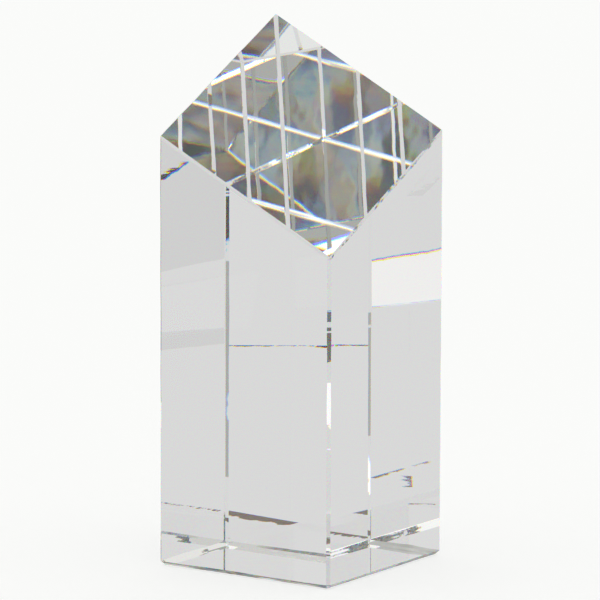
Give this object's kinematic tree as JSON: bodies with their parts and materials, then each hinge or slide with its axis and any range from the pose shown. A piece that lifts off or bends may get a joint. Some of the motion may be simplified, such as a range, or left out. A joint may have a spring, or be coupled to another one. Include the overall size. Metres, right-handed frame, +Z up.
{
  "type": "crystal award",
  "caption": "Clear crystal award: a solid square glass column with a slanted top cut along its diagonal and fine chamfers on every edge.",
  "frame": {"origin": "centre of the flat underside", "axes": "+Z up, along the column; the four upright faces look along +X, -X, +Y and -Y; the top falls from the tallest edge at (-X, +Y) to the shortest at (+X, -Y)"},
  "size_m": [0.06, 0.06, 0.1576],
  "materials": {
    "optical_glass": "polished"
  },
  "bodies": {
    "root": {"crystal_block": "optical_glass"}
  },
  "joints": []
}
